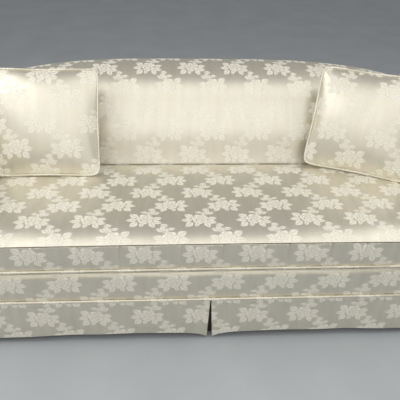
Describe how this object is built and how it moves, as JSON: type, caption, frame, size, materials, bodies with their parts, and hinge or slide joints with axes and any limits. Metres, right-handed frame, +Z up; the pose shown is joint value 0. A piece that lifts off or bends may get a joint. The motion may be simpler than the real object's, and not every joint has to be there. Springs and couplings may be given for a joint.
{
  "type": "skirted sofa",
  "caption": "upholstered sofa with an arched tight back, rolled arms, a bench seat cushion that lifts out, loose throw pillows and a skirt with an inverted pleat",
  "frame": {"origin": "on the floor, under the middle of the sofa's box", "axes": "+X is to the right of someone who faces the sofa from the front, +Y points to the back of the sofa and +Z is up; the front faces -Y"},
  "size_m": [2.1338, 0.917, 0.8438],
  "materials": {
    "damask": "satin",
    "hardwood": "matte",
    "foam": "matte",
    "deck_ticking": "matte",
    "jute": "matte",
    "black_cambric": "matte",
    "spring_steel": "satin",
    "zip_tape": "matte",
    "nylon": "matte"
  },
  "bodies": {
    "sofa_frame": {"front_rail": "hardwood", "back_rail": "hardwood", "left_side_rail": "hardwood", "left_cross_rail": "hardwood", "right_side_rail": "hardwood", "right_cross_rail": "hardwood", "front_left_leg": "hardwood", "front_middle_leg": "hardwood", "front_right_leg": "hardwood", "back_left_leg": "hardwood", "back_middle_leg": "hardwood", "back_right_leg": "hardwood", "front_left_glide": "nylon", "front_middle_glide": "nylon", "front_right_glide": "nylon", "back_left_glide": "nylon", "back_middle_glide": "nylon", "back_right_glide": "nylon", "dust_cover": "black_cambric", "seat_springs": "spring_steel", "front_border_cover": "damask", "front_edge_roll": "foam", "deck_pad": "deck_ticking", "crest_rail": "hardwood", "left_back_post": "hardwood", "right_back_post": "hardwood", "middle_back_upright": "hardwood", "lower_back_rail": "hardwood", "back_webbing": "jute", "inside_back_pad": "foam", "inside_back_cover": "damask", "left_arm_rail": "hardwood", "left_arm_front_post": "hardwood", "left_arm_rear_post": "hardwood", "left_inside_arm_cover": "damask", "left_arm_pad": "foam", "left_outside_arm": "damask", "left_arm_front": "damask", "right_arm_rail": "hardwood", "right_arm_front_post": "hardwood", "right_arm_rear_post": "hardwood", "right_inside_arm_cover": "damask", "right_arm_pad": "foam", "right_outside_arm": "damask", "right_arm_front": "damask", "outside_back": "damask", "left_front_skirt": "damask", "left_side_skirt": "damask", "left_corner_underlay": "damask", "right_front_skirt": "damask", "right_side_skirt": "damask", "right_corner_underlay": "damask", "back_skirt": "damask", "middle_pleat_underlay": "damask"},
    "seat_cushion": {"seat_cushion_cover": "damask", "seat_cushion_core": "foam", "cushion_zip_tape": "zip_tape"},
    "zip_slider": {"cushion_zip_slider": "spring_steel"},
    "left_pillow": {"left_pillow": "damask"},
    "right_pillow": {"right_pillow": "damask"}
  },
  "joints": [
    {"name": "seat_cushion_lift", "type": "slide", "parent": "sofa_frame", "child": "seat_cushion", "axis": [0, 0, 1], "range_m": [0, 0.5]},
    {"name": "left_pillow_lift", "type": "slide", "parent": "seat_cushion", "child": "left_pillow", "axis": [0, 0, 1], "range_m": [0, 0.4]},
    {"name": "right_pillow_lift", "type": "slide", "parent": "seat_cushion", "child": "right_pillow", "axis": [0, 0, 1], "range_m": [0, 0.4]},
    {"name": "zip_slide", "type": "slide", "parent": "seat_cushion", "child": "zip_slider", "axis": [-1, 0, 0], "range_m": [0, 1.39]}
  ]
}
